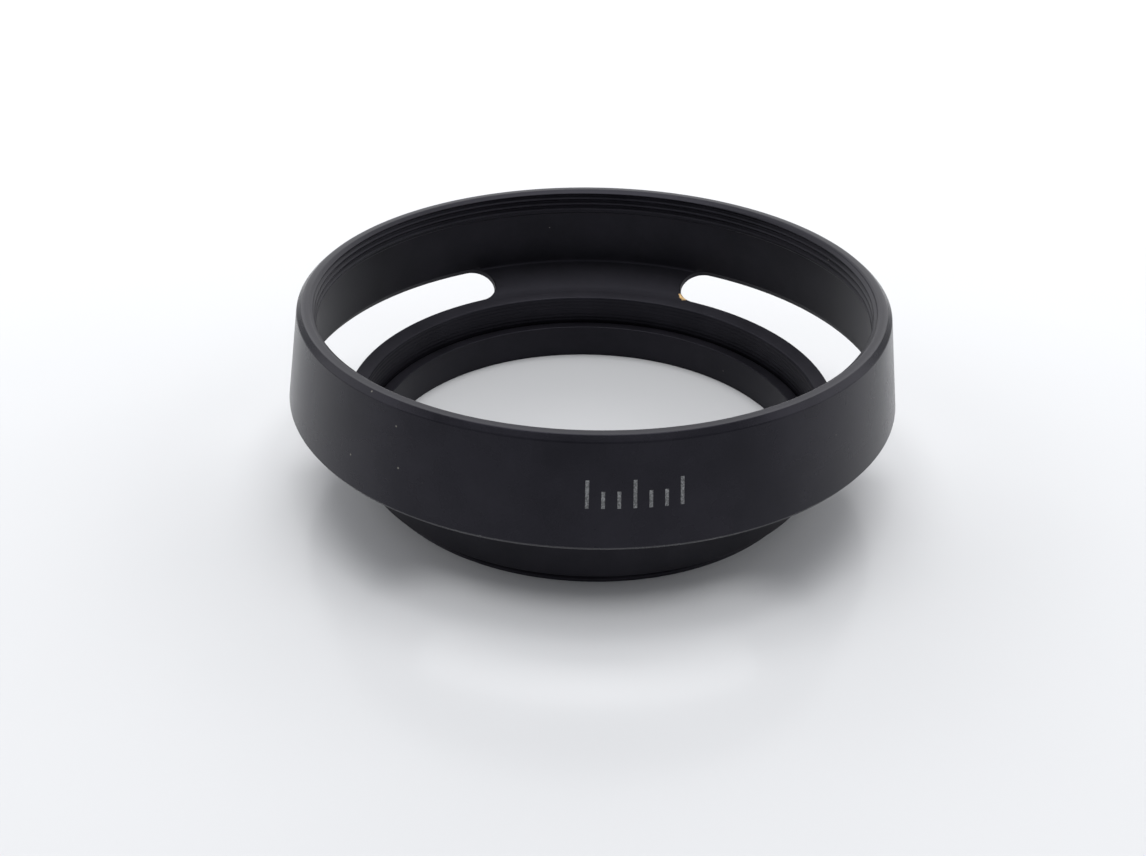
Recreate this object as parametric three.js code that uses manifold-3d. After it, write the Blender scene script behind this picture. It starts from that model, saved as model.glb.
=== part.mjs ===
// A vented metal lens hood that screws into a lens's filter thread.
//
// Frame: millimetres, +Z along the optical axis towards the subject. The origin is the centre of the
// lower end of the lens thread, so the hood stands on that thread with its mouth up.
//
// The hood is two turned pieces. The hood shell is one bell: a neck, a dished floor with three curved
// vents, and a wall that narrows towards the mouth, with a filter thread just inside the rim. The
// mount ring carries the lens thread. It is screwed down into the neck from above until its shoulder
// lands on the neck's seat lip.

import * as THREE from "three";
import { mergeVertices } from "three/addons/utils/BufferGeometryUtils.js";
import Module from "manifold-3d";

// ---- driving dimensions, mm -------------------------------------------------------------------
//
// The lens thread sets the size. Each radius further out is the one before it plus a width of its own.

// lens thread, M52 x 0.75
const lensThreadRadius = 25.95;
const lensThreadTurns = 2;
const lensThreadChamfer = 0.3;
const threadPitch = 0.75;
const threadDepth = 0.4;

// mount ring: a sleeve with one shoulder. Its top is a height above the face that seats on the lens.
const ringWall = 1.05;
const ringShoulderWidth = 0.55;
const ringTopHeight = 2.45;
const ringClearance = 0.08;

// neck, which takes the mount ring
const neckWall = 0.55;
const neckTaper = 0.6;
const seatLipHeight = 0.5;
const seatLipClearance = 0.1;
const smallBreak = 0.12;

// dished floor, from the lip of the neck to the shoulder
const lipStep = 0.15;
const lipWidth = 1.45;
const lipAngle = THREE.MathUtils.degToRad(20);
const dishAngle = THREE.MathUtils.degToRad(26.8);
const dishThickness = 0.92;

// vents, milled square to the dished floor
const ventCount = 3;
const ventWidth = 5.44;
const ventSweep = THREE.MathUtils.degToRad(60.6);
const ventMargin = 0.05;
const ventOvertravel = 0.4;
const ventReach = 3.0;

// shoulder and wall: heights are above the face that seats on the lens
const shoulderLand = 0.93;
const shoulderHeight = 9.0;
const shoulderBreakWidth = 0.22;
const shoulderBreakDrop = 0.36;
const wallThickness = 1.73;
const wallLean = 1.75;
const hoodHeight = 19.75;

// rim and the filter thread inside it, M62 x 0.75
const rimRound = 0.6;
const rimWall = 1.6;
const rimLeadIn = 0.2;
const rimLeadInDrop = 0.4;
const filterThreadTurns = 3;
const filterReliefWidth = 0.55;
const filterReliefDepth = 0.15;

// roundness of the turned surfaces and of a vent's ends
const turnedSegments = 120;
const cutterSegments = 24;

// ---- heights and radii that follow from them --------------------------------------------------

const seat = lensThreadChamfer + lensThreadTurns * threadPitch;
const rimTop = seat + hoodHeight;
const shoulder = seat + shoulderHeight;

const ringBoreRadius = lensThreadRadius - ringWall;
const neckThreadRadius = lensThreadRadius + ringShoulderWidth;
const neckRadius = neckThreadRadius + neckWall;
const lipRadius = neckThreadRadius + lipStep;
const lipOuterRadius = lipRadius + lipWidth;

// The vents lie between the lip and the land under the shoulder. The floor leans out over its own
// thickness, so a vent comes out of the underside further from the axis than it goes in.
const ventInnerRadius = lipOuterRadius + ventMargin;
const ventOuterRadius =
  ventInnerRadius + ventWidth * Math.cos(dishAngle) + dishThickness * Math.sin(dishAngle);
const shoulderRadius = ventOuterRadius + shoulderLand;
const rimRadius = shoulderRadius - wallLean;
const filterThreadRadius = rimRadius - rimWall;

const dishSlope = Math.tan(dishAngle);
const dishFootRadius = shoulderRadius - shoulderBreakWidth;
const dishFootHeight = shoulder - shoulderBreakDrop;

function dishUnderside(radius) {
  return dishFootHeight + (radius - dishFootRadius) * dishSlope;
}

function dishFloor(radius) {
  return dishUnderside(radius) + dishThickness / Math.cos(dishAngle);
}

const wallTopHeight = rimTop - rimRound;
const wallSlope = (shoulderRadius - rimRadius) / (wallTopHeight - shoulder);

// The inside of the wall lies one wall thickness in from the outside, at any height.
function wallInside(height) {
  return shoulderRadius - wallSlope * (height - shoulder) - wallThickness;
}

// Where the sloping floor meets the sloping wall: both are straight lines in the section.
const cornerHeight =
  (dishFloor(wallInside(shoulder)) + dishSlope * wallSlope * shoulder) / (1 + dishSlope * wallSlope);
const cornerRadius = wallInside(cornerHeight);

const lipHeight = dishFloor(lipOuterRadius) - lipWidth * Math.tan(lipAngle);

// ---- helpers ----------------------------------------------------------------------------------

const wasm = await Module();
wasm.setup();

function point(radius, height) {
  return new THREE.Vector2(radius, height);
}

// A closed solid of revolution about +Z, from the outline of one half of its section.
function turned(outline) {
  const profile = [...outline, outline[0].clone()];
  return new THREE.LatheGeometry(profile, turnedSegments).rotateX(Math.PI / 2);
}

function toSolid(geometry) {
  const bare = geometry.clone();
  bare.deleteAttribute("normal");
  bare.deleteAttribute("uv");
  const merged = mergeVertices(bare, 1e-4);
  const mesh = new wasm.Mesh({
    numProp: 3,
    vertProperties: new Float32Array(merged.attributes.position.array),
    triVerts: new Uint32Array(merged.index.array),
  });
  return new wasm.Manifold(mesh);
}

function toGeometry(solid) {
  const mesh = solid.getMesh();
  const geometry = new THREE.BufferGeometry();
  geometry.setAttribute("position", new THREE.BufferAttribute(mesh.vertProperties, 3));
  geometry.setIndex(new THREE.BufferAttribute(mesh.triVerts, 1));
  geometry.computeVertexNormals();
  return geometry;
}

// Thread turns as V grooves in a section's outline, listed from `start` upwards. `crest` and `root`
// are the radii of a turn's top and bottom.
function threadTurns(start, turns, crest, root) {
  const points = [];
  for (let turn = 0; turn < turns; turn += 1) {
    const base = start + turn * threadPitch;
    points.push(point(root, base + threadPitch / 2));
    points.push(point(crest, base + threadPitch));
  }
  return points;
}

// ---- hood shell -------------------------------------------------------------------------------

// Corner points of the rounded outer edge of the rim, from the wall up to the flat top.
function rimEdge() {
  const steps = 3;
  const points = [];
  for (let step = 0; step <= steps; step += 1) {
    const angle = (step / steps) * (Math.PI / 2);
    const radius = rimRadius - rimRound * (1 - Math.cos(angle));
    points.push(point(radius, wallTopHeight + rimRound * Math.sin(angle)));
  }
  return points;
}

// The neck, dish and wall as one section. It runs up the outside and down the inside.
function shellOutline() {
  const threadCrest = filterThreadRadius - threadDepth;
  const threadTop = rimTop - rimLeadInDrop;
  const threadBottom = threadTop - filterThreadTurns * threadPitch;
  const reliefRadius = filterThreadRadius + filterReliefDepth;
  const reliefBottom = threadBottom - filterReliefWidth;
  const neckTopRadius = neckRadius + neckTaper;
  const seatLipRadius = lensThreadRadius + seatLipClearance;
  const outside = [
    point(neckRadius - smallBreak, seat),
    point(neckRadius, seat + smallBreak),
    point(neckTopRadius, dishUnderside(neckTopRadius)),
    point(dishFootRadius, dishFootHeight),
    point(shoulderRadius, shoulder),
    ...rimEdge(),
  ];
  const thread = threadTurns(threadBottom, filterThreadTurns, threadCrest, filterThreadRadius);
  const inside = [
    point(filterThreadRadius + rimLeadIn, rimTop),
    ...thread.reverse(),
    point(threadCrest, threadBottom),
    point(reliefRadius, threadBottom),
    point(reliefRadius, reliefBottom),
    point(wallInside(reliefBottom - smallBreak), reliefBottom - smallBreak),
    point(cornerRadius, cornerHeight),
    point(lipOuterRadius, dishFloor(lipOuterRadius)),
    point(lipRadius, lipHeight),
    point(neckThreadRadius, lipHeight - lipStep),
    point(neckThreadRadius, seat + seatLipHeight),
    point(seatLipRadius, seat + seatLipHeight),
    point(seatLipRadius, seat),
  ];
  return [...outside, ...inside];
}

// One vent's cutter, centred on -Y: the path of an end mill that is held square to the floor.
function ventCutter() {
  const across = point(Math.cos(dishAngle), Math.sin(dishAngle));
  const along = point(-Math.sin(dishAngle), Math.cos(dishAngle));
  const innerEdge = point(ventInnerRadius, dishFloor(ventInnerRadius));
  const middle = innerEdge.addScaledVector(across, ventWidth / 2);
  const section = [
    [-1, -ventReach],
    [1, -ventReach],
    [1, ventOvertravel],
    [-1, ventOvertravel],
  ].map(([side, depth]) =>
    middle
      .clone()
      .addScaledVector(across, (side * ventWidth) / 2)
      .addScaledVector(along, depth),
  );
  const ring = toSolid(turned(section));

  const reach = 2 * shoulderRadius;
  const wedge = new THREE.Shape([
    new THREE.Vector2(0, 0),
    new THREE.Vector2(-reach * Math.sin(ventSweep / 2), -reach * Math.cos(ventSweep / 2)),
    new THREE.Vector2(reach * Math.sin(ventSweep / 2), -reach * Math.cos(ventSweep / 2)),
  ]);
  const wedgeSolid = toSolid(new THREE.ExtrudeGeometry(wedge, { depth: rimTop, bevelEnabled: false }));
  let cutter = ring.intersect(wedgeSolid);

  const millLength = ventReach + ventOvertravel;
  const millMiddle = middle.clone().addScaledVector(along, (ventOvertravel - ventReach) / 2);
  for (const side of [-1, 1]) {
    const mill = new THREE.CylinderGeometry(ventWidth / 2, ventWidth / 2, millLength, cutterSegments)
      .rotateX(Math.PI / 2)
      .rotateX(-dishAngle)
      .translate(0, -millMiddle.x, millMiddle.y)
      .rotateZ((side * ventSweep) / 2);
    cutter = cutter.add(toSolid(mill));
  }
  return cutter;
}

function hoodShell() {
  let shell = toSolid(turned(shellOutline()));
  const cutter = ventCutter();
  for (let vent = 0; vent < ventCount; vent += 1) {
    shell = shell.subtract(cutter.rotate([0, 0, (360 / ventCount) * vent]));
  }
  return toGeometry(shell);
}

// ---- mount ring -------------------------------------------------------------------------------

// A threaded sleeve with one outside shoulder, which rests on the neck's seat lip.
function mountRing() {
  const threadRoot = lensThreadRadius - threadDepth;
  const bodyRadius = neckThreadRadius - ringClearance;
  const shoulderUnder = seat + seatLipHeight;
  const ringTop = seat + ringTopHeight;
  return turned([
    point(ringBoreRadius + smallBreak, 0),
    point(threadRoot, 0),
    point(lensThreadRadius, lensThreadChamfer),
    ...threadTurns(lensThreadChamfer, lensThreadTurns, lensThreadRadius, threadRoot),
    point(lensThreadRadius, shoulderUnder),
    point(bodyRadius, shoulderUnder),
    point(bodyRadius, ringTop),
    point(ringBoreRadius + smallBreak, ringTop),
    point(ringBoreRadius, ringTop - smallBreak),
    point(ringBoreRadius, smallBreak),
  ]);
}

// ---- the hood ---------------------------------------------------------------------------------

function piece(name, geometry, finish) {
  const mesh = new THREE.Mesh(geometry, new THREE.MeshStandardMaterial(finish));
  mesh.name = name;
  return mesh;
}

const hood = new THREE.Group();
hood.add(piece("hood_shell", hoodShell(), { color: 0x17171a, roughness: 0.45, metalness: 0.6 }));
hood.add(piece("mount_ring", mountRing(), { color: 0x1b1b1e, roughness: 0.4, metalness: 0.6 }));

export default hood;
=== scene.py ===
"""A vented screw-in lens hood of black anodised aluminium, standing on its lens thread.

The hood is two turned pieces, a bell and the mount ring in its neck, and a printed index mark. Each
turned piece starts as one half of its section, which is spun about the optical axis. The threads are
then cut into the spun surface as true helices, and the vents are milled out of the bell's floor. The
black is chipped through to bronze at one end of a vent.

Lengths are in millimetres while a piece is made, and it is scaled to metres when it is finished.
"""

import math

import bmesh
import bpy
from mathutils import Matrix, Vector


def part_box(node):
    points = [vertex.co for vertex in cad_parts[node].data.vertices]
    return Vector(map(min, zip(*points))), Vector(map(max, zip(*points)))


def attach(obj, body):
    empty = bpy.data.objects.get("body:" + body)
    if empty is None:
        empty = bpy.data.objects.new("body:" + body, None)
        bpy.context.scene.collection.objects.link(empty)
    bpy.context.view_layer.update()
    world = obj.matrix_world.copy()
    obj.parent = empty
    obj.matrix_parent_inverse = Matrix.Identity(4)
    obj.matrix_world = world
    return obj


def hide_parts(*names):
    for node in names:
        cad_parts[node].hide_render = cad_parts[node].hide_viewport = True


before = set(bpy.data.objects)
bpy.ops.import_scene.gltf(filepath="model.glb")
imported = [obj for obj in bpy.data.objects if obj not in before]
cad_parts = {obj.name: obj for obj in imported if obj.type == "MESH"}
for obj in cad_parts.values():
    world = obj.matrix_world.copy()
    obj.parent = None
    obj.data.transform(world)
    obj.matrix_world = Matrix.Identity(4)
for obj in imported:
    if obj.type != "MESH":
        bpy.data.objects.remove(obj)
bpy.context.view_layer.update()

MM = 0.001

# ---- sizes taken from the frame -----------------------------------------------------------------

SHELL_LOW, SHELL_HIGH = (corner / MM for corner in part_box("hood_shell"))
RING_LOW, RING_HIGH = (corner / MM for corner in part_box("mount_ring"))

SEAT = SHELL_LOW.z
RIM_TOP = SHELL_HIGH.z
SHOULDER_RADIUS = SHELL_HIGH.x
RING_RADIUS = RING_HIGH.x
RING_TOP = RING_HIGH.z

# ---- sizes of the bell, mm ----------------------------------------------------------------------

SHOULDER_HEIGHT = SEAT + 9.0
SHOULDER_BREAK = Vector((0.22, 0.36))
WALL_THICKNESS = 1.73
WALL_LEAN = 1.75
LEAN_TOP = RIM_TOP - 0.6
RIM_WIDTH = 1.6
FILTER_THREAD_RADIUS = SHOULDER_RADIUS - WALL_LEAN - RIM_WIDTH
RIM_CHAMFER = 0.5
RIM_LEAD_IN = 0.2
RIM_LEAD_DROP = 0.4
FILTER_THREAD_TURNS = 3
RELIEF_WIDTH = 0.55
RELIEF_DEPTH = 0.15
RELIEF_BREAK = 0.12

THREAD_PITCH = 0.75
THREAD_DEPTH = 0.4
THREAD_FLAT = 0.075  # share of the depth that the V loses at its crest, and again at its root
THREAD_START = 0.5  # turns

DISH_ANGLE = math.radians(26.8)
DISH_THICKNESS = 0.92
LIP_WIDTH = 1.45
LIP_ANGLE = math.radians(20)
LIP_EDGE = 0.15

NECK_BORE = RING_RADIUS + 0.08
NECK_RADIUS = NECK_BORE + 0.55
NECK_TAPER = 0.6
NECK_PITCH = 0.5
NECK_THREAD_DEPTH = 0.035
NECK_GROOVE_DEPTH = 0.07
NECK_GROOVE_FLANK = 0.08
NECK_GROOVE_BELOW = 0.3
NECK_GROOVE_ABOVE = 0.1
SEAT_LIP_RADIUS = NECK_BORE - 0.45
SEAT_LIP_HEIGHT = 0.5

VENT_COUNT = 3
VENT_WIDTH = 5.44
VENT_SWEEP = math.radians(60.6)
VENT_MARGIN = 0.05
VENT_OVERTRAVEL = 0.4
VENT_REACH = 2.4
VENT_BREAK = 0.1

# ---- sizes of the mount ring, mm ----------------------------------------------------------------

LENS_THREAD_RADIUS = NECK_BORE - 0.55
RING_BORE = LENS_THREAD_RADIUS - 1.05
RING_FOOT_CHAMFER = 0.3
RING_TOP_CHAMFER = 0.12

# ---- roundings of the turned corners, mm --------------------------------------------------------

SHOULDER_ROUND = 0.02
GROOVE_ROUND = 0.03
THREAD_END_ROUND = 0.04
STEP_ROUND = 0.05
RIM_TOP_ROUND = 0.06
LEAD_IN_ROUND = 0.1
EDGE_ROUND = 0.12
NECK_EDGE_ROUND = 0.2
FLOOR_FILLET = 0.25
LIP_FILLET = 0.5

# ---- the one chip in the black, at an end of a vent, mm ------------------------------------------

CHIP_AZIMUTH = math.radians(63.0)
CHIP_FROM_LIP = 0.65
CHIP_SIZE = 1.1

# ---- printed index mark, mm ---------------------------------------------------------------------

INDEX_AZIMUTH = math.radians(-83.4)
INDEX_HEIGHT = 16.1
INDEX_TICKS = 7
INDEX_SPACING = 1.5
INDEX_TICK_WIDTH = 0.34
INDEX_LONG_TICK = 2.8
INDEX_SHORT_TICK = 1.7
INK_THICKNESS = 0.03
INK_PROUD = 0.012

# ---- fineness of the meshes ---------------------------------------------------------------------

TURN_STEPS = 240
THREAD_ROW = 0.065
CORNER_SEGMENTS = 2
ROUND_FACET = 0.1
MILL_STEPS = 48
PATH_STEPS = 41
WELD = 0.002
SHARP_FROM = math.radians(30)


# ---- heights and radii that follow --------------------------------------------------------------

DISH_SLOPE = math.tan(DISH_ANGLE)
DISH_FOOT = Vector((SHOULDER_RADIUS, SHOULDER_HEIGHT)) - SHOULDER_BREAK
LIP_OUTER_RADIUS = NECK_BORE + LIP_EDGE + LIP_WIDTH
WALL_SLOPE = WALL_LEAN / (LEAN_TOP - SHOULDER_HEIGHT)
WALL_FOOT = SHOULDER_RADIUS + WALL_SLOPE * SHOULDER_HEIGHT


def dish_underside(radius):
    return DISH_FOOT.y + (radius - DISH_FOOT.x) * DISH_SLOPE


def dish_floor(radius):
    return dish_underside(radius) + DISH_THICKNESS / math.cos(DISH_ANGLE)


def wall_outside(height):
    return WALL_FOOT - WALL_SLOPE * height


def wall_inside(height):
    return wall_outside(height) - WALL_THICKNESS


LIP_HEIGHT = dish_floor(LIP_OUTER_RADIUS) - LIP_WIDTH * math.tan(LIP_ANGLE)
INSIDE_CORNER = (
    dish_floor(wall_inside(SHOULDER_HEIGHT)) + DISH_SLOPE * WALL_SLOPE * SHOULDER_HEIGHT
) / (1 + DISH_SLOPE * WALL_SLOPE)


# ---- turning ------------------------------------------------------------------------------------


def section(corners):
    """A closed loop of edges through (radius, height, rounding) corners, with the corners rounded."""
    shape = bmesh.new()
    points = [shape.verts.new((radius, 0, height)) for radius, height, rounding in corners]
    face = shape.faces.new(points)
    for rounding in sorted({corner[2] for corner in corners} - {0}):
        bmesh.ops.bevel(
            shape,
            geom=[point for point, corner in zip(points, corners) if corner[2] == rounding],
            offset=rounding,
            segments=CORNER_SEGMENTS + round(rounding / ROUND_FACET),
            profile=0.5,
            affect="VERTICES",
            material=-1,
        )
    bmesh.ops.delete(shape, geom=list(shape.faces), context="FACES_ONLY")
    return shape


def add_rows(shape, low, high, crest, depth):
    """Splits the section's edges where a thread will be cut, between two heights."""
    for edge in list(shape.edges):
        first, second = sorted((vert.co for vert in edge.verts), key=lambda place: place.z)
        near = abs((first.x + second.x) / 2 - crest) < 2 * depth
        if near and first.z > low - WELD and second.z < high + WELD:
            cuts = int(edge.calc_length() / THREAD_ROW)
            bmesh.ops.subdivide_edges(shape, edges=[edge], cuts=cuts)


def turn(shape):
    """Spins a section all the way round the optical axis."""
    bmesh.ops.spin(
        shape,
        geom=list(shape.verts) + list(shape.edges),
        axis=(0, 0, 1),
        cent=(0, 0, 0),
        angle=2 * math.pi,
        steps=TURN_STEPS,
        use_merge=True,
    )
    bmesh.ops.remove_doubles(shape, verts=shape.verts, dist=WELD)
    bmesh.ops.recalc_face_normals(shape, faces=shape.faces)


def cut_thread(shape, low, high, crest, depth, pitch, inside):
    """Cuts a helical V groove. A point moves only where the groove lies deeper than the surface."""
    for vert in shape.verts:
        radius = vert.co.xy.length
        if not low <= vert.co.z <= high or abs(radius - crest) > 2 * depth:
            continue
        turns = vert.co.z / pitch - math.atan2(vert.co.y, vert.co.x) / (2 * math.pi) + THREAD_START
        tooth = abs(2 * (turns - math.floor(turns)) - 1)
        groove = depth * min(1.0, max(0.0, (1 + 2 * THREAD_FLAT) * tooth - THREAD_FLAT))
        if inside:
            cut = max(radius, crest + groove)
        else:
            cut = min(radius, crest - groove)
        vert.co.xy *= cut / radius


def made(shape, name, *finishes):
    """Makes a shape into an object, still in millimetres."""
    for face in shape.faces:
        face.smooth = True
    mesh = bpy.data.meshes.new(name)
    shape.to_mesh(mesh)
    shape.free()
    piece = bpy.data.objects.new(name, mesh)
    bpy.context.scene.collection.objects.link(piece)
    for finish in finishes:
        mesh.materials.append(finish)
    return piece


def to_metres(piece):
    """Scales a piece, and lets its flat faces set the shading of the small roundings between them."""
    piece.data.transform(Matrix.Scale(MM, 4))
    weighted = piece.modifiers.new("weighted_normals", "WEIGHTED_NORMAL")
    weighted.mode = "FACE_AREA"
    weighted.keep_sharp = True
    return piece


# ---- milling the vents --------------------------------------------------------------------------


def cutter_profile():
    """One half of a vent's section, from its middle out, with the edge breaks at both faces."""
    half = VENT_WIDTH / 2
    return [
        (0, VENT_OVERTRAVEL),
        (half + VENT_BREAK, VENT_OVERTRAVEL),
        (half + VENT_BREAK, 0),
        (half, -VENT_BREAK),
        (half, VENT_BREAK - DISH_THICKNESS),
        (half + VENT_BREAK, -DISH_THICKNESS),
        (half + VENT_BREAK, -VENT_REACH),
        (0, -VENT_REACH),
    ]


def vent_frame():
    """The middle of a vent's opening, the way across the floor and the way square to it."""
    inner = LIP_OUTER_RADIUS + VENT_MARGIN
    across = Vector((math.cos(DISH_ANGLE), 0, math.sin(DISH_ANGLE)))
    square = Vector((-math.sin(DISH_ANGLE), 0, math.cos(DISH_ANGLE)))
    middle = Vector((inner, 0, dish_floor(inner))) + across * VENT_WIDTH / 2
    return middle, across, square


def chain(shape, points, loop=False):
    """New vertices at the points, joined by edges into a line or a loop."""
    verts = [shape.verts.new(point) for point in points]
    pairs = list(zip(verts, verts[1:])) + ([(verts[-1], verts[0])] if loop else [])
    return verts + [shape.edges.new(pair) for pair in pairs]


def about_axis(shape, verts, angle):
    bmesh.ops.rotate(shape, cent=(0, 0, 0), matrix=Matrix.Rotation(angle, 3, "Z"), verts=verts)


def vent_cutter(shape):
    """Adds the space that an end mill clears along one vent on azimuth 0: a path and two ends."""
    middle, across, square = vent_frame()
    outward = [middle + across * out + square * up for out, up in cutter_profile()]
    inward = [middle - across * out + square * up for out, up in cutter_profile()]
    others = set(shape.verts)
    for end in (-1, 1):
        before = set(shape.verts)
        half_turn = {"axis": square, "cent": middle, "angle": end * math.pi, "steps": MILL_STEPS // 2}
        bmesh.ops.spin(shape, geom=chain(shape, outward), **half_turn)
        about_axis(shape, [vert for vert in shape.verts if vert not in before], end * VENT_SWEEP / 2)
    path = chain(shape, outward + inward[-2:0:-1], loop=True)
    about_axis(shape, [part for part in path if isinstance(part, bmesh.types.BMVert)], -VENT_SWEEP / 2)
    whole_path = {"axis": (0, 0, 1), "cent": (0, 0, 0), "angle": VENT_SWEEP, "steps": PATH_STEPS}
    bmesh.ops.spin(shape, geom=path, **whole_path)
    own = [vert for vert in shape.verts if vert not in others]
    bmesh.ops.remove_doubles(shape, verts=own, dist=WELD)


def mill_vents(bell):
    """Cuts every vent at once. The cutter's faces carry the second material on to the cut."""
    shape = bmesh.new()
    for vent in range(VENT_COUNT):
        before = set(shape.verts)
        vent_cutter(shape)
        fresh = [vert for vert in shape.verts if vert not in before]
        about_axis(shape, fresh, math.radians(-90) + vent * 2 * math.pi / VENT_COUNT)
    bmesh.ops.recalc_face_normals(shape, faces=shape.faces)
    for face in shape.faces:
        face.material_index = 1
    cutter = made(shape, "cutter", None, None)
    cut = bell.modifiers.new("vents", "BOOLEAN")
    cut.operation = "DIFFERENCE"
    cut.solver = "EXACT"
    cut.object = cutter
    result = bpy.data.meshes.new_from_object(bell.evaluated_get(bpy.context.evaluated_depsgraph_get()))
    bell.modifiers.clear()
    bell.data = result
    bpy.data.objects.remove(cutter)


def settle_edges(mesh):
    """Welds what a cut left too close together, and keeps only the cut's own edges sharp."""
    shape = bmesh.new()
    shape.from_mesh(mesh)
    bmesh.ops.remove_doubles(shape, verts=shape.verts, dist=WELD)
    bmesh.ops.dissolve_degenerate(shape, edges=shape.edges, dist=WELD)
    for face in shape.faces:
        face.smooth = True
    for edge in shape.edges:
        milled = any(face.material_index for face in edge.link_faces)
        edge.smooth = not (milled and edge.calc_face_angle(0) > SHARP_FROM)
    shape.to_mesh(mesh)
    shape.free()


# ---- finishes -----------------------------------------------------------------------------------


class Value:
    """A number that varies over a surface. Its operators add Math nodes."""

    def __init__(self, finish, socket):
        self.finish = finish
        self.socket = socket

    def math(self, operation, *values, clamp=False):
        settings = {"operation": operation, "use_clamp": clamp}
        return self.finish.node("ShaderNodeMath", settings, dict(enumerate(values)))

    def __add__(self, other):
        return self.math("ADD", self, other)

    def __sub__(self, other):
        return self.math("SUBTRACT", self, other)

    def __rsub__(self, other):
        return self.math("SUBTRACT", other, self)

    def __mul__(self, other):
        return self.math("MULTIPLY", self, other)

    def __truediv__(self, other):
        return self.math("DIVIDE", self, other)

    def __pow__(self, other):
        return self.math("POWER", self, other)

    __radd__ = __add__
    __rmul__ = __mul__

    def above(self, low, high):
        """0 below low, 1 above high, and a straight ramp between them."""
        return self.math("MULTIPLY_ADD", self, 1 / (high - low), -low / (high - low), clamp=True)

    def below(self, low, high):
        """1 below low, 0 above high."""
        return 1 - self.above(low, high)


class Finish:
    """A material being made. Places are in millimetres, from the piece's own coordinates."""

    def __init__(self, name):
        self.material = bpy.data.materials.new(name)
        self.material.use_nodes = True
        self.tree = self.material.node_tree
        self.tree.nodes.clear()
        coordinates = self.node("ShaderNodeTexCoord", {}, {}, "Object")
        scale = {"operation": "SCALE"}
        self.place = self.node("ShaderNodeVectorMath", scale, {0: coordinates, "Scale": 1 / MM})
        self.x, self.y, self.height = (
            self.node("ShaderNodeSeparateXYZ", {}, {0: self.place}, axis) for axis in "XYZ"
        )
        self.radius = (self.x * self.x + self.y * self.y) ** 0.5

    def node(self, kind, settings, sockets, output=0):
        """Adds one node: its settings first, then the values or links of its sockets."""
        node = self.tree.nodes.new(kind)
        for name, setting in settings.items():
            setattr(node, name, setting)
        for name, value in sockets.items():
            if isinstance(value, Value):
                self.tree.links.new(value.socket, node.inputs[name])
            else:
                node.inputs[name].default_value = value
        return Value(self, node.outputs[output]) if node.outputs else None

    def mix(self, share, first, second):
        """A colour between two colours."""
        return self.node("ShaderNodeMix", {"data_type": "RGBA"}, {0: share, 6: first, 7: second}, 2)

    def noise(self, size, detail=2.0, roughness=0.5):
        """Smooth noise about 0.5, whose features are about the given size in millimetres."""
        sockets = {"Vector": self.place, "Scale": 1 / size, "Detail": detail, "Roughness": roughness}
        return self.node("ShaderNodeTexNoise", {}, sockets)

    def turning_lines(self, width, drift):
        """Fine lines that run round the axis, and change slowly along their length."""
        rings = {0: self.radius / width, 1: self.height / width, 2: self.x / drift}
        where = self.node("ShaderNodeCombineXYZ", {}, rings)
        sockets = {"Vector": where, "W": self.y / drift, "Scale": 1.0, "Detail": 1.5}
        return self.node("ShaderNodeTexNoise", {"noise_dimensions": "4D"}, sockets)

    def specks(self, spacing, size, share):
        """1 on scattered dots, 0 elsewhere. `share` of the cells hold a dot."""
        sockets = {"Vector": self.place, "Scale": 1 / spacing, "Randomness": 1.0}
        distance = self.node("ShaderNodeTexVoronoi", {}, sockets, "Distance")
        colour = self.node("ShaderNodeTexVoronoi", {}, sockets, "Color")
        chance = self.node("ShaderNodeSeparateColor", {}, {0: colour}, 0)
        near = distance.below(size / spacing / 2, size / spacing)
        return near * chance.above(1 - share, 1 - share + SPECK_FADE)

    def distance(self, middle):
        """Millimetres from a point."""
        ends = {0: self.place, 1: middle}
        return self.node("ShaderNodeVectorMath", {"operation": "DISTANCE"}, ends, "Value")

    def near_circle(self, radius, height, reach):
        """1 on a circle round the axis, falling to 0 at `reach` from it."""
        out = self.radius - radius
        up = self.height - height
        return ((out * out + up * up) ** 0.5).below(0, reach)

    def bump(self, height):
        """A normal from heights in millimetres."""
        sockets = {"Strength": 1.0, "Distance": MM, "Height": height}
        return self.node("ShaderNodeBump", {}, sockets)

    def shade(self, **sockets):
        """Puts the surface together. A name's underscores stand for the spaces in a socket's name."""
        named = {name.replace("_", " "): value for name, value in sockets.items()}
        surface = self.node("ShaderNodeBsdfPrincipled", {}, named)
        self.node("ShaderNodeOutputMaterial", {}, {"Surface": surface})


def largest(values):
    """The largest of some values at each place, and 0 if there are none."""
    most = 0.0
    for value in values:
        most = value.math("MAXIMUM", most, value)
    return most


SHEEN_LEVEL = 0.25
SHEEN_TINT = (0.85, 0.83, 1.0, 1)
BLACK = (0.0032, 0.0032, 0.0046, 1)
FADED_BLACK = (0.0125, 0.0118, 0.0155, 1)
DUST_GREY = (0.24, 0.23, 0.2, 1)
RUBBED_METAL = (0.36, 0.35, 0.33, 1)
BARE_BRONZE = (0.62, 0.42, 0.2, 1)
THIN_INK = (0.09, 0.092, 0.095, 1)
FULL_INK = (0.27, 0.275, 0.28, 1)

TURNED_ROUGHNESS = 0.27
MILLED_ROUGHNESS = 0.34
RING_ROUGHNESS = 0.26
INK_ROUGHNESS = 0.6
SHELTERED_ROUGHNESS = 0.17

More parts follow.
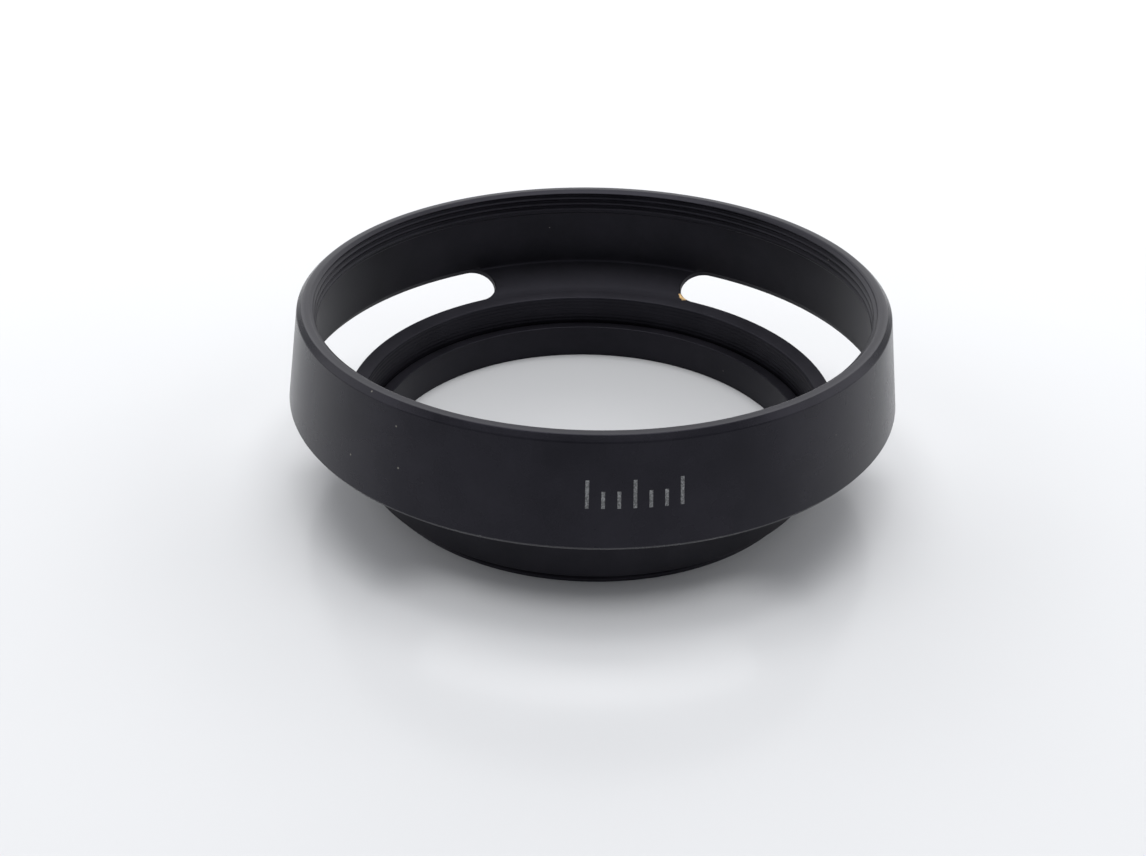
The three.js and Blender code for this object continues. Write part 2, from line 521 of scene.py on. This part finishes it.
# sizes of the patterns, mm. DUST_SHARE and SPECK_FADE are shares of 1.
TURNING_WIDTH = 0.11
TURNING_DRIFT = 9.0
TURNED_LINES = 0.0035
MILLED_LINES = 0.001
RING_LINES = 0.0025
TOOTH_SIZE = 0.22
TOOTH_HEIGHT = 0.007
HANDLING_SIZE = 7.0
PATCH_SIZE = 5.0
WEAR_SIZE = 0.35
POLISHED_SKIN = 0.9
SKIN_FADE = 0.5
DUST_SPACING = 2.6
DUST_SIZE = 0.13
DUST_SHARE = 0.14
SPECK_FADE = 0.01
WIDE_RUB = 0.2
NARROW_RUB = 0.12
INK_GAPS = 0.16
INK_GRAIN = 0.1
INK_HEIGHT = 0.004


def anodised(name, roughness, line_height, worn_edges=(), chips=()):
    """Satin black anodised aluminium: turning lines, a fine tooth, handling marks and worn edges.

    A worn edge is a circle's radius and height and the rub's reach. A chip is its middle and reach.
    """
    finish = Finish(name)
    lines = finish.turning_lines(TURNING_WIDTH, TURNING_DRIFT)
    tooth = finish.noise(TOOTH_SIZE, detail=3.0, roughness=0.7)
    handling = finish.noise(HANDLING_SIZE, detail=4.0, roughness=0.6)
    dust = finish.specks(DUST_SPACING, DUST_SIZE, DUST_SHARE)

    wear = finish.noise(WEAR_SIZE, detail=4.0, roughness=0.65)
    patches = finish.noise(PATCH_SIZE, detail=1.0).above(0.52, 0.66)
    edges = [finish.near_circle(*circle) for circle in worn_edges]
    rubs = [(edge + wear * 1.1).above(1.56, 1.7) * patches * 0.6 for edge in edges]
    bare = [(finish.distance(middle) / reach + wear).below(1.15, 1.25) for middle, reach in chips]
    worn = largest(rubs + bare)

    body = finish.mix(handling.above(0.3, 0.75), BLACK, FADED_BLACK)
    dusty = finish.mix(dust * 0.8, body, DUST_GREY)
    colour = finish.mix(largest(rubs), dusty, RUBBED_METAL)
    for chip in bare:
        colour = finish.mix(chip, colour, BARE_BRONZE)

    # the outside of the wall is handled and polished, and the rest is sheltered and rougher
    skin = finish.radius + finish.height * WALL_SLOPE - WALL_FOOT
    sheltered = skin.below(-POLISHED_SKIN, SKIN_FADE - POLISHED_SKIN)
    marks = (handling - 0.5) * 0.12 + dust * 0.3 - worn * 0.08
    finish.shade(
        Specular_IOR_Level=SHEEN_LEVEL,
        Specular_Tint=SHEEN_TINT,
        Base_Color=colour,
        Roughness=roughness + sheltered * SHELTERED_ROUGHNESS + marks,
        Metallic=worn,
        Normal=finish.bump(lines * line_height + tooth * TOOTH_HEIGHT),
    )
    return finish.material


def ink(name):
    """Pale grey printing ink, thin enough in places for the black to show through."""
    finish = Finish(name)
    thickness = finish.noise(INK_GAPS, detail=3.0, roughness=0.6).above(0.42, 0.62)
    colour = finish.mix(thickness, THIN_INK, FULL_INK)
    grain = finish.noise(INK_GRAIN, detail=2.0) * INK_HEIGHT
    finish.shade(Base_Color=colour, Roughness=INK_ROUGHNESS, Normal=finish.bump(grain))
    return finish.material


# ---- the pieces ---------------------------------------------------------------------------------

THREAD_CREST = FILTER_THREAD_RADIUS - THREAD_DEPTH
THREAD_TOP = RIM_TOP - RIM_LEAD_DROP
THREAD_BOTTOM = THREAD_TOP - FILTER_THREAD_TURNS * THREAD_PITCH


def bell_corners():
    """The bell's section: up the outside, then down the inside."""
    neck_top = NECK_RADIUS + NECK_TAPER
    relief = FILTER_THREAD_RADIUS + RELIEF_DEPTH
    relief_bottom = THREAD_BOTTOM - RELIEF_WIDTH
    step = relief_bottom - RELIEF_BREAK
    groove = NECK_BORE + NECK_GROOVE_DEPTH
    groove_top = RING_TOP + NECK_GROOVE_ABOVE
    groove_bottom = RING_TOP - NECK_GROOVE_BELOW
    return [
        (NECK_RADIUS, SEAT, EDGE_ROUND),
        (neck_top, dish_underside(neck_top), FLOOR_FILLET),
        (DISH_FOOT.x, DISH_FOOT.y, SHOULDER_ROUND),
        (SHOULDER_RADIUS, SHOULDER_HEIGHT, SHOULDER_ROUND),
        (wall_outside(RIM_TOP - RIM_CHAMFER), RIM_TOP - RIM_CHAMFER, EDGE_ROUND),
        (wall_outside(RIM_TOP) - RIM_CHAMFER, RIM_TOP, RIM_TOP_ROUND),
        (FILTER_THREAD_RADIUS + RIM_LEAD_IN, RIM_TOP, LEAD_IN_ROUND),
        (THREAD_CREST, THREAD_TOP, 0),
        (THREAD_CREST, THREAD_BOTTOM, GROOVE_ROUND),
        (relief, THREAD_BOTTOM, GROOVE_ROUND),
        (relief, relief_bottom, STEP_ROUND),
        (wall_inside(step), step, STEP_ROUND),
        (wall_inside(INSIDE_CORNER), INSIDE_CORNER, FLOOR_FILLET),
        (LIP_OUTER_RADIUS, dish_floor(LIP_OUTER_RADIUS), LIP_FILLET),
        (NECK_BORE, LIP_HEIGHT - LIP_EDGE * math.tan(LIP_ANGLE), NECK_EDGE_ROUND),
        (NECK_BORE, groove_top, GROOVE_ROUND),
        (groove, groove_top - NECK_GROOVE_FLANK, GROOVE_ROUND),
        (groove, groove_bottom, GROOVE_ROUND),
        (NECK_BORE, groove_bottom - NECK_GROOVE_FLANK, GROOVE_ROUND),
        (NECK_BORE, SEAT + SEAT_LIP_HEIGHT, 0),
        (SEAT_LIP_RADIUS, SEAT + SEAT_LIP_HEIGHT, STEP_ROUND),
        (SEAT_LIP_RADIUS, SEAT, STEP_ROUND),
    ]


def make_bell():
    shape = section(bell_corners())
    add_rows(shape, THREAD_BOTTOM, RIM_TOP, THREAD_CREST, THREAD_DEPTH)
    add_rows(shape, RING_TOP, LIP_HEIGHT, NECK_BORE, NECK_THREAD_DEPTH)
    turn(shape)
    cut_thread(shape, THREAD_BOTTOM, RIM_TOP, THREAD_CREST, THREAD_DEPTH, THREAD_PITCH, inside=True)
    neck_top = LIP_HEIGHT + LIP_EDGE
    cut_thread(shape, RING_TOP, neck_top, NECK_BORE, NECK_THREAD_DEPTH, NECK_PITCH, inside=True)
    worn = [(SHOULDER_RADIUS, SHOULDER_HEIGHT, WIDE_RUB)]
    chip_radius = LIP_OUTER_RADIUS + CHIP_FROM_LIP
    chip = Matrix.Rotation(CHIP_AZIMUTH, 3, "Z") @ Vector((chip_radius, 0, dish_floor(chip_radius)))
    turned = anodised("turned_black", TURNED_ROUGHNESS, TURNED_LINES, worn, [(chip, CHIP_SIZE)])
    milled = anodised("milled_black", MILLED_ROUGHNESS, MILLED_LINES, chips=[(chip, CHIP_SIZE)])
    bell = made(shape, "hood_bell", turned, milled)
    mill_vents(bell)
    settle_edges(bell.data)
    return to_metres(bell)


def make_ring():
    """The mount ring's section: up the outside, then down the bore."""
    root = LENS_THREAD_RADIUS - THREAD_DEPTH
    under = SEAT + SEAT_LIP_HEIGHT
    shape = section(
        [
            (root, RING_LOW.z, THREAD_END_ROUND),
            (LENS_THREAD_RADIUS, RING_FOOT_CHAMFER, 0),
            (LENS_THREAD_RADIUS, under, 0),
            (RING_RADIUS, under, THREAD_END_ROUND),
            (RING_RADIUS, RING_TOP - RING_TOP_CHAMFER, GROOVE_ROUND),
            (RING_RADIUS - RING_TOP_CHAMFER, RING_TOP, STEP_ROUND),
            (RING_BORE, RING_TOP, EDGE_ROUND),
            (RING_BORE, RING_LOW.z, LEAD_IN_ROUND),
        ]
    )
    add_rows(shape, RING_LOW.z, under, LENS_THREAD_RADIUS, THREAD_DEPTH)
    turn(shape)
    cut_thread(shape, RING_LOW.z, SEAT, LENS_THREAD_RADIUS, THREAD_DEPTH, THREAD_PITCH, inside=False)
    inset = NARROW_RUB / 2
    worn = [(RING_BORE + inset, RING_TOP - inset, NARROW_RUB), (root, RING_LOW.z, WIDE_RUB)]
    finish = anodised("ring_black", RING_ROUGHNESS, RING_LINES, worn)
    return to_metres(made(shape, "lens_ring", finish))


def make_index():
    """A row of printed ticks on the front of the wall, with a long one in the middle and at each end."""
    shape = bmesh.new()
    lean = math.atan(WALL_SLOPE)
    for tick in range(INDEX_TICKS):
        along = (tick - (INDEX_TICKS - 1) / 2) * INDEX_SPACING
        long = tick % ((INDEX_TICKS - 1) // 2) == 0
        tall = INDEX_LONG_TICK if long else INDEX_SHORT_TICK
        foot = INDEX_HEIGHT - INDEX_LONG_TICK / 2
        bar = bmesh.ops.create_cube(shape, size=1)["verts"]
        bmesh.ops.scale(shape, vec=(INK_THICKNESS, INDEX_TICK_WIDTH, tall), verts=bar)
        bmesh.ops.translate(shape, vec=(INK_PROUD - INK_THICKNESS / 2, 0, tall / 2), verts=bar)
        bmesh.ops.rotate(shape, cent=(0, 0, 0), matrix=Matrix.Rotation(-lean, 3, "Y"), verts=bar)
        bmesh.ops.translate(shape, vec=(wall_outside(foot), 0, foot), verts=bar)
        about_axis(shape, bar, INDEX_AZIMUTH + along / SHOULDER_RADIUS)
    bmesh.ops.bevel(
        shape,
        geom=list(shape.edges),
        offset=INK_THICKNESS / 4,
        segments=2,
        profile=0.5,
        affect="EDGES",
        material=-1,
    )
    return to_metres(made(shape, "index_print", ink("index_ink")))


# ---- stage, light and camera --------------------------------------------------------------------

CAMERA_AT = Vector((-2.30, -125.48, 78.15)) * MM
CAMERA_YAW = math.radians(-2.57)
CAMERA_PITCH = math.radians(30.90)
CAMERA_ROLL = math.radians(-0.49)
CAMERA_LENS = 38.45
CAMERA_SENSOR = 36.0
CAMERA_SHIFT = 0.0451

FLOOR_HALF = 1500  # mm
FLOOR_CLOUD = 60.0  # mm
FLOOR_DARK = (0.66, 0.665, 0.675, 1)
FLOOR_LIGHT = (0.69, 0.695, 0.705, 1)
FLOOR_SHEEN = 0.2
FLOOR_ROUGHNESS = 0.18

SKY_COLOUR = (0.93, 0.95, 1.0, 1)
SKY_BRIGHTNESS = 0.45
LIT_POINT = Vector((0, 0, 0.01))


def make_camera():
    data = bpy.data.cameras.new("camera")
    data.sensor_width = CAMERA_SENSOR
    data.lens = CAMERA_LENS
    data.shift_x = CAMERA_SHIFT
    data.clip_start = MM
    camera = bpy.data.objects.new("camera", data)
    bpy.context.scene.collection.objects.link(camera)
    tilt = Matrix.Rotation(math.radians(90) - CAMERA_PITCH, 4, "X")
    heading = Matrix.Rotation(-CAMERA_YAW, 4, "Z")
    roll = Matrix.Rotation(CAMERA_ROLL, 4, "Z")
    camera.matrix_world = Matrix.Translation(CAMERA_AT) @ heading @ tilt @ roll
    bpy.context.scene.camera = camera
    bpy.context.scene.view_settings.view_transform = "Standard"


def make_floor():
    shape = bmesh.new()
    bmesh.ops.create_grid(shape, x_segments=2, y_segments=2, size=FLOOR_HALF)
    finish = Finish("floor_pale")
    colour = finish.mix(finish.noise(FLOOR_CLOUD, detail=3.0), FLOOR_DARK, FLOOR_LIGHT)
    finish.shade(Specular_IOR_Level=FLOOR_SHEEN, Base_Color=colour, Roughness=FLOOR_ROUGHNESS)
    to_metres(made(shape, "floor", finish.material))


def soft_light(name, place, width, height, brightness):
    """A panel that faces the hood. Its energy is its brightness, times pi, times its area."""
    data = bpy.data.lights.new(name, "AREA")
    data.shape = "RECTANGLE"
    data.size = width
    data.size_y = height
    data.energy = brightness * math.pi * width * height
    panel = bpy.data.objects.new(name, data)
    bpy.context.scene.collection.objects.link(panel)
    facing = (LIT_POINT - Vector(place)).to_track_quat("-Z", "Y").to_matrix().to_4x4()
    panel.matrix_world = Matrix.Translation(place) @ facing


def make_light():
    world = bpy.data.worlds.new("studio")
    world.use_nodes = True
    background = world.node_tree.nodes["Background"]
    background.inputs["Color"].default_value = SKY_COLOUR
    background.inputs["Strength"].default_value = SKY_BRIGHTNESS
    bpy.context.scene.world = world
    soft_light("backdrop", place=(0, 1.05, 0.60), width=2.0, height=1.1, brightness=1.4)
    soft_light("overhead", place=(0, 0.10, 1.1), width=0.9, height=0.7, brightness=3.8)
    soft_light("left_panel", place=(-0.95, 0.1, 0.50), width=0.9, height=0.8, brightness=1.2)
    soft_light("right_panel", place=(0.95, 0.1, 0.50), width=0.9, height=0.8, brightness=1.2)


# ---- the hood -----------------------------------------------------------------------------------

make_camera()
make_floor()
make_light()

bell = make_bell()
ring = make_ring()
index = make_index()

for piece, node, slot in ((bell, "hood_shell", "shell_black"), (ring, "mount_ring", "ring_black")):
    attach(piece, "root")
    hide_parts(node)
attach(index, "root")
